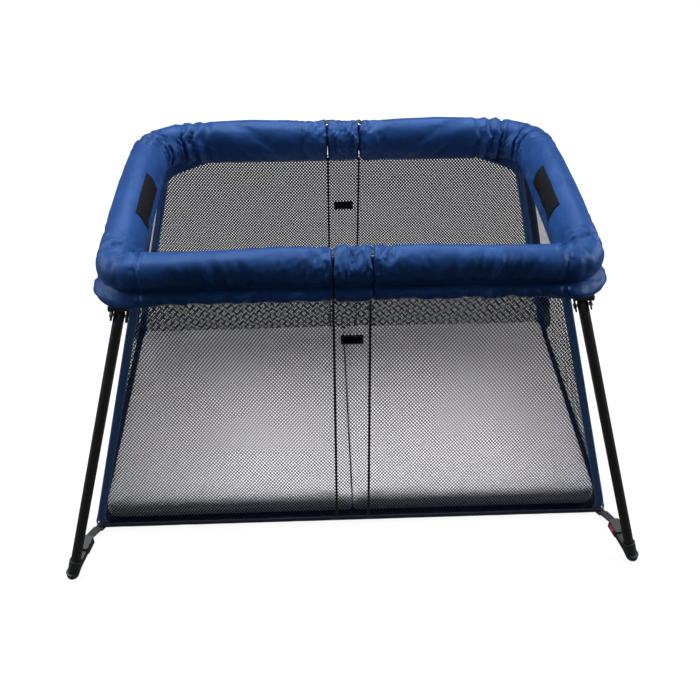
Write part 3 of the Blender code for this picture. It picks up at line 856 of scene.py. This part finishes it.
BINDING_BEND = 0.012
BINDING_THICK = 0.0030
BINDING_HALF = Vector((0, 0, 0.0050))
BINDING_X, BINDING_Y = WALL_BOTTOM.x + 0.0012, WALL_BOTTOM.y + 0.0012
BINDING_Z = WALL_BOTTOM.z - 0.001


def binding_path(s):
    """Along the near side from the fold line, round the end and back along the far side."""
    x, y, z, bend = BINDING_X, BINDING_Y, BINDING_Z, BINDING_BEND
    near = [Vector((s * (FOLD_X + (x - bend - FOLD_X) * t), -y, z)) for t in steps(23)]
    for k in range(1, 6):
        turn = math.pi / 2 * k / 6
        near.append(Vector((s * (x - bend + bend * math.sin(turn)), -y + bend - bend * math.cos(turn), z)))
    far = [Vector((p.x, -p.y, p.z)) for p in near[::-1]]
    middle = [Vector((s * x, -y + bend + 2 * (y - bend) * t, z)) for t in steps(20)]
    path = []
    for p in near + middle + far:
        wave = 0.0007 * noise.noise(Vector((p.x * 30, p.y * 30, 2.0)))
        path.append(p + Vector((0, 0, wave)))
    return path


def base_bindings():
    """Binding round the lower edge of each wall."""
    made = []
    for end, s in ENDS:
        path = binding_path(s)
        piece = ribbon(f"{end}_base_binding", path, [BINDING_HALF] * len(path), BINDING_THICK, BASE_CLOTH)
        made.append(finish_piece(piece, f"{end}_half", "base_fabric"))
    for side, sign in SIDES:
        path = [Vector((-FOLD_X + 2 * FOLD_X * t, sign * BINDING_Y, BINDING_Z)) for t in steps(8)]
        piece = ribbon(f"{side}_centre_binding", path, [BINDING_HALF] * len(path), BINDING_THICK, BASE_CLOTH)
        made.append(finish_piece(piece, "centre", "base_fabric"))
    return made


# Labels -------------------------------------------------------------------------------

def patch(name, centre, right, up, half_w, half_h, thick):
    """A blank sewn patch that thins towards its edge."""
    out = right.cross(up)
    cols, rows = 14, 8
    verts = []
    for j in range(rows + 1):
        for i in range(cols + 1):
            u, v = 2 * i / cols - 1, 2 * j / rows - 1
            edge = min(1.0, 6 * min(1 - abs(u), 1 - abs(v)))
            bow = thick * (0.4 + 0.6 * edge) + 0.0004 * noise.noise(Vector((u * 2, v * 2, 5)))
            verts.append(centre + right * half_w * u + up * half_h * v + out * bow)
    return thicken(new_mesh(name, verts, grid_faces(cols, rows), LABEL), thick)


def stitch_border(name, centre, right, up, half_w, half_h, lift, body):
    """A line of short stitches round a patch."""
    out = right.cross(up)
    corners = [centre + right * half_w * u + up * half_h * v + out * lift
               for u, v in ((-1, -1), (1, -1), (1, 1), (-1, 1), (-1, -1))]
    parts = []
    for a, b in zip(corners, corners[1:]):
        count = max(2, int((b - a).length / 0.0034))
        for k in range(count):
            p = a.lerp(b, (k + 0.15) / count)
            q = a.lerp(b, (k + 0.8) / count)
            parts.append(tube(name, [p, p.lerp(q, 0.5) + out * 0.0002, q], 0.00035, DARK_THREAD, 5))
    return join(parts, name, body, "label_fabric")


def wall_tab(side, sign):
    """The blank woven tab in the middle of a long wall, with its stitching."""
    low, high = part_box(f"{side}_wall_label")
    t = ((low.z + high.z) / 2 - WALL_BOTTOM.z) / (WALL_TOP.z - WALL_BOTTOM.z)
    centre = long_point(sign, 0.0, t, WALL_SEED[side])
    up = (long_point(sign, 0.0, t + 0.02, WALL_SEED[side]) - centre).normalized()
    right = Vector((1, 0, 0))
    start = centre + right.cross(up) * 0.0012
    name = f"{side}_wall_tab"
    piece = patch(name, start, right, up, 0.0205, 0.0095, 0.0009)
    finish_piece(piece, "centre", "label_fabric", f"{side}_wall_label")
    return [piece, stitch_border(f"{name}_stitching", start, right, up, 0.0185, 0.0075, 0.0016, "centre")]


def labels(covers):
    """The blank patches on the rim. Returns the tabs on the walls, which fold with the walls."""
    tabs = []
    for side, sign in SIDES:
        tabs += wall_tab(side, sign)
    for end, s in ENDS:
        rim_patch(end, s, covers[end])
    return tabs


def rim_patch(end, s, cover):
    """A blank patch that lies on the inner face of an end rail."""
    low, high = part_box(f"{end}_rim_label")
    tree = BVHTree.FromObject(cover, bpy.context.evaluated_depsgraph_get())
    cols, rows = 16, 9
    verts = []
    for v in steps(rows):
        for u in steps(cols):
            y = low.y + (high.y - low.y) * u
            z = low.z + 0.009 + (high.z - low.z) * v
            hit = tree.ray_cast(Vector((s * 0.30, y, z)), Vector((s, 0, 0)))[0]
            spot = hit if hit else Vector((s * (RAIL_X - 0.038), y, z))
            edge = min(1.0, 5 * min(u, 1 - u, v, 1 - v))
            verts.append(spot - Vector((s * (0.0010 + 0.0006 * edge), 0, 0)))
    faces = [face if s < 0 else face[::-1] for face in grid_faces(cols, rows)]
    piece = thicken(new_mesh(f"{end}_rim_patch", verts, faces, LABEL), 0.0012)
    return finish_piece(piece, f"{end}_half", "label_fabric", f"{end}_rim_label")


# Base and mattress --------------------------------------------------------------------

BASE_CORNER = 0.026
BASE_EDGE = 0.0012
MATTRESS_CORNER = 0.028
MATTRESS_GAP = 0.0008                  # from the fold between its two halves


def base_panels():
    made = []
    y = FLOOR_HIGH.y
    for end, s in ENDS:
        outline = [(FOLD_X, -y)] + round_end(FLOOR_HIGH.x, y, BASE_CORNER, 0.0, 7) + [(FOLD_X, y)]
        made.append(base_panel(f"{end}_base", outline, s, f"{end}_half", f"{end}_floor"))
    outline = [(-FOLD_X, -y), (FOLD_X, -y), (FOLD_X, y), (-FOLD_X, y)]
    made.append(base_panel("centre_base", outline, 1, "centre", "centre_floor"))
    return made


def base_panel(name, outline, s, body, node):
    """A flat cloth panel with a small chamfer round it."""
    middle = sum(x for x, _ in outline) / len(outline)
    low, high = FLOOR_LOW.z, FLOOR_HIGH.z
    rings = []
    for z, inset in ((low, BASE_EDGE), (low + BASE_EDGE, 0.0), (high - BASE_EDGE, 0.0), (high, BASE_EDGE)):
        ring = []
        for x, y in outline:
            dx = -inset if x > middle else inset
            dy = -inset if y > 0 else inset
            ring.append(Vector((s * (x + dx), y + dy, z)))
        rings.append(ring)
    piece = outward(new_mesh(name, *loft(rings), BASE_CLOTH))
    return finish_piece(piece, body, "base_fabric", node)


def mattress_shell(name, s, low, high):
    """Half of the mattress before it swells: a slab with rounded corners and edges."""
    x, y = max(abs(low.x), abs(high.x)), high.y + 0.007
    levels = []
    for k in range(6):
        turn = math.pi / 2 * k / 5
        levels.append((0.008 * (1 - math.sin(turn)), low.z + 0.008 * (1 - math.cos(turn))))
    for k in range(6):
        turn = math.pi / 2 * k / 5
        levels.append((0.013 * (1 - math.cos(turn)), high.z - 0.011 + 0.013 * math.sin(turn)))
    rings = []
    for inset, z in levels:
        gap = MATTRESS_GAP + inset * 0.15
        ring = [(gap, -y + inset)] + round_end(x, y, MATTRESS_CORNER, inset, 8) + [(gap, y - inset)]
        rings.append([Vector((s * px, py, z)) for px, py in ring])
    piece = outward(new_mesh(name, *loft(rings), MATTRESS))
    step = piece.modifiers.new("remesh", "REMESH")
    step.mode = "VOXEL"
    step.voxel_size = 0.0085
    return apply_modifiers(piece)


def mattress(end, s):
    """Half of the mattress, puffed up, a little uneven on top and flat where it meets the other half."""
    low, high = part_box(f"{end}_mattress")
    piece = mattress_shell(f"{end}_mattress_pad", s, low, high)
    held = [(v.index, 1.0) for v in piece.data.vertices if v.co.z < low.z + 0.006]
    swell(piece, held, pressure=1.6, shrink=-0.008, cap=0.005, stiff=14.0, bend=0.8)
    for v in piece.data.vertices:
        if v.co.z > low.z + 0.03:
            v.co.z += 0.0016 * noise.noise(v.co * 11.0) + 0.0010 * noise.noise(v.co * 30.0)
        v.co.z = min(max(v.co.z, low.z), high.z + 0.009)
        inner = v.co.x * s
        if inner < 0.011:
            v.co.x = s * (MATTRESS_GAP + 0.12 * max(0.0, inner - MATTRESS_GAP))
    piece.data.materials.clear()
    piece.data.materials.append(MATTRESS)
    piece.data.materials.append(MATTRESS_SIDE_PAINTED_SHADE)
    for face in piece.data.polygons:
        face.use_smooth = True
        # Faces below the top take the greyer cloth: painted shade on the mattress's sides.
        face.material_index = 0 if face.center.z > high.z - 0.026 else 1
    finish_piece(piece, f"{end}_half", "mattress_fabric", f"{end}_mattress")
    return subdivide(piece)


# Legs and feet ------------------------------------------------------------------------

def soften(node, width, material):
    """Round a CAD node's edges and give it a finish."""
    thing = frame["nodes"][node]
    for polygon in thing.data.polygons:
        polygon.use_smooth = True
    bevel = thing.modifiers.new("edge", "BEVEL")
    bevel.width = width
    bevel.segments = 3
    bevel.limit_method = "ANGLE"
    bevel.angle_limit = math.radians(35)
    bevel.use_clamp_overlap = True
    even = thing.modifiers.new("shade", "WEIGHTED_NORMAL")
    even.keep_sharp = False
    for index in range(len(thing.material_slots)):
        thing.material_slots[index].material = material
    return thing


LEG_RADIUS = 0.0095
LEG_CAP = 0.0034
LEG_LOW = 0.0175                       # height of the tube's lower end


def leg(end, s, side, sign):
    """A straight steel leg with a rounded cap at its pivot."""
    name = f"{side}_{end}"
    pivot = Vector(JOINTS[f"{name}_leg_fold"]["pos_m"])
    foot = Vector((s * LEG_GROUND[0], sign * LEG_GROUND[1], 0.0))
    down = (foot - pivot).normalized()
    top = pivot - down * LEG_RADIUS
    bottom = foot - down * (LEG_LOW / -down.z)
    length = (bottom - top).length
    u = down.cross(Vector((0, 0, 1))).normalized()
    v = down.cross(u)
    shape = [(0.0, 0.55), (0.0006, 0.80), (0.0018, 0.94), (LEG_CAP, 1.0)]
    shape += [(LEG_CAP + (length - LEG_CAP) * k / 24, 1.0) for k in range(1, 25)]
    rings = []
    for along, wide in shape:
        ring = []
        for k in range(40):
            turn = 2 * math.pi * k / 40
            across = (u * math.cos(turn) + v * math.sin(turn)) * LEG_RADIUS * wide
            ring.append(top + down * along + across)
        rings.append(ring)
    piece = outward(new_mesh(f"{name}_leg", *loft(rings), LEG_COAT))
    return finish_piece(piece, f"{name}_leg", "leg_paint", f"{name}_leg_tube")


BUTTON_DEPTH = 0.0055
BUTTON_HALF_W, BUTTON_HALF_H = 0.0104, 0.0045


def button(end, s, side, sign):
    """The red push button: an oval cap with a dished face."""
    name = f"{side}_{end}"
    out = -Vector(JOINTS[f"{name}_button_press"]["axis"])
    low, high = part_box(f"{name}_release_button")
    up = Vector((0, 0, 1))
    wide = up.cross(out).normalized()
    face = (low + high) / 2 + out * (BUTTON_DEPTH / 2)
    shape = ((-BUTTON_DEPTH, 0.98), (-0.0016, 1.0), (-0.0008, 0.97), (-0.0002, 0.90), (0.0, 0.80),
             (-0.0004, 0.6), (-0.0007, 0.35))
    rings = []
    for offset, size in shape:
        ring = []
        for k in range(36):
            turn = 2 * math.pi * k / 36
            cx = math.copysign(abs(math.cos(turn)) ** 0.75, math.cos(turn)) * BUTTON_HALF_W
            cz = math.copysign(abs(math.sin(turn)) ** 0.75, math.sin(turn)) * BUTTON_HALF_H
            ring.append(face + out * offset + wide * cx * size + up * cz * size)
        rings.append(ring)
    piece = outward(new_mesh(f"{name}_button", *loft(rings), RED))
    return finish_piece(piece, f"{name}_button", "red_plastic", f"{name}_release_button")


def strap(end, s, side, sign):
    """Webbing from the foot's head up to the base corner."""
    name = f"{side}_{end}"
    arm_low, arm_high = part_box(f"{name}_foot_arm")
    corner = Vector((s * (WALL_BOTTOM.x - 0.014), sign * (WALL_BOTTOM.y - 0.012), 0.0045))
    tip_y = arm_low.y if sign > 0 else arm_high.y
    start = Vector((s * (LEG_GROUND[0] - 0.0180), tip_y - sign * 0.0012, 0.0090))
    path = []
    for t in steps(14):
        p = start.lerp(corner, t)
        p.z += math.sin(math.pi * t) * (0.0012 if t <= 0.5 else -0.0023)
        path.append(p)
    flat = Vector((corner.x - start.x, corner.y - start.y, 0)).normalized()
    across = [flat.cross(Vector((0, 0, 1))) * (0.0088 + 0.0022 * t) for t in steps(14)]
    piece = ribbon(f"{name}_strap", path, across, 0.0020, WEBBING)
    return finish_piece(piece, f"{end}_half", "webbing", f"{name}_base_strap")


def legs():
    """Makes all four legs and returns their straps, which fold with the base."""
    straps = []
    for corner in CORNERS:
        end, s, side, sign = corner
        leg(*corner)
        button(*corner)
        straps.append(strap(*corner))
        soften(f"{side}_{end}_foot_arm", 0.0012, FOOT_PLASTIC)
        soften(f"{side}_{end}_bracket", 0.0009, PLASTIC)
        soften(f"{side}_{end}_leg_pin", 0.0005, ZINC)
    return straps


def hidden_frame():
    for end, s in ENDS:
        soften(f"{end}_frame_tube", 0.0002, LEG_COAT)
        for side, sign in SIDES:
            soften(f"{end}_{side}_knuckle", 0.0006, PLASTIC)
            soften(f"{end}_{side}_hinge_pin", 0.0004, ZINC)
    for side, sign in SIDES:
        soften(f"{side}_hinge_link", 0.0005, LEG_COAT)


# Own meshes and riding covers -----------------------------------------------------------

def fold_with(pieces):
    """Gives each soft piece a mesh of its own."""
    for piece in pieces:
        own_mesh(piece)


def ride_covers(covers):
    for end, s in ENDS:
        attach(covers[end], f"{end}_half")
    for side, sign in SIDES:
        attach(covers[side], "centre")


# Stage --------------------------------------------------------------------------------

def stage():
    """A pale floor that keeps its shadows faint and doesn't light the object from below."""
    size = 12.0
    thing = new_mesh("floor", [(-size, -size, 0), (size, -size, 0), (size, size, 0), (-size, size, 0)],
                     [(0, 1, 2, 3)], [], False)
    n = Nodes("studio_floor")
    n.set(Roughness=0.9, Specular_IOR_Level=0.05, Emission_Strength=0.92)
    n.shader.inputs["Base Color"].default_value = (0.10, 0.10, 0.10, 1)
    n.shader.inputs["Emission Color"].default_value = (1, 1, 1, 1)
    thing.data.materials.append(n.material)
    thing.location.z = -0.0004
    thing.visible_diffuse = False
    thing.visible_glossy = False


def lamp(name, place, aim, size, power):
    data = bpy.data.lights.new(name, "AREA")
    data.shape = "DISK"
    data.size = size
    data.energy = power
    thing = bpy.data.objects.new(name, data)
    bpy.context.scene.collection.objects.link(thing)
    thing.location = place
    way = Vector(aim) - Vector(place)
    thing.rotation_euler = way.to_track_quat("-Z", "Y").to_euler()


def lights():
    lamp("key", (-0.2, 1.1, 3.2), (0, 0, 0.4), size=2.0, power=158)
    lamp("left", (-3.0, 0.3, 1.8), (0, 0, 0.5), size=1.6, power=80)
    lamp("right", (3.0, 0.3, 1.8), (0, 0, 0.5), size=1.6, power=112)
    lamp("fill", (0.0, -3.4, 2.0), (0, 0, 0.3), size=2.6, power=8)


def backdrop():
    """White behind the object as the camera sees it, and dim as a light."""
    world = bpy.data.worlds.new("studio")
    world.use_nodes = True
    tree = world.node_tree
    background = tree.nodes["Background"]
    background.inputs[0].default_value = (1, 1, 1, 1)
    ray = tree.nodes.new("ShaderNodeLightPath")
    strength = tree.nodes.new("ShaderNodeMapRange")
    strength.inputs["To Min"].default_value = 0.10
    strength.inputs["To Max"].default_value = 1.0
    tree.links.new(ray.outputs["Is Camera Ray"], strength.inputs["Value"])
    tree.links.new(strength.outputs["Result"], background.inputs[1])
    bpy.context.scene.world = world
    bpy.context.scene.view_settings.view_transform = "Standard"


LENS_MM, SENSOR_MM = 44.87, 36.0
CAMERA_PLACE = (-0.054, -1.458, 1.458)
YAW, PITCH, ROLL = math.radians(-2.35), math.radians(40.45), math.radians(0.1)


def camera():
    """Looks down at the near side, turned by YAW, tilted down by PITCH and rolled by ROLL."""
    data = bpy.data.cameras.new("camera")
    data.lens = LENS_MM
    data.sensor_width = SENSOR_MM
    data.dof.use_dof = False
    thing = bpy.data.objects.new("camera", data)
    bpy.context.scene.collection.objects.link(thing)
    level = math.cos(PITCH)
    forward = Vector((-math.sin(YAW) * level, math.cos(YAW) * level, -math.sin(PITCH)))
    right = Vector((math.cos(YAW), math.sin(YAW), 0))
    up = right.cross(forward)
    turned = right * math.cos(ROLL) + up * math.sin(ROLL)
    up = up * math.cos(ROLL) - right * math.sin(ROLL)
    basis = Matrix((turned, up, -forward)).transposed()
    thing.matrix_world = Matrix.Translation(CAMERA_PLACE) @ basis.to_4x4()
    bpy.context.scene.camera = thing


def build():
    camera()
    covers = rims()
    tabs = labels(covers)
    soft = nets() + [gusset(*corner) for corner in CORNERS]
    soft += fold_seams() + base_bindings()
    for corner in CORNERS:
        soft += corner_tape(*corner)
    soft += base_panels()
    soft += [mattress(end, s) for end, s in ENDS]
    soft += legs()
    hidden_frame()
    ride_covers(covers)
    soft += tabs
    for piece in soft:
        if piece.modifiers:
            apply_modifiers(piece)
    fold_with(soft)
    stage()
    lights()
    backdrop()


build()
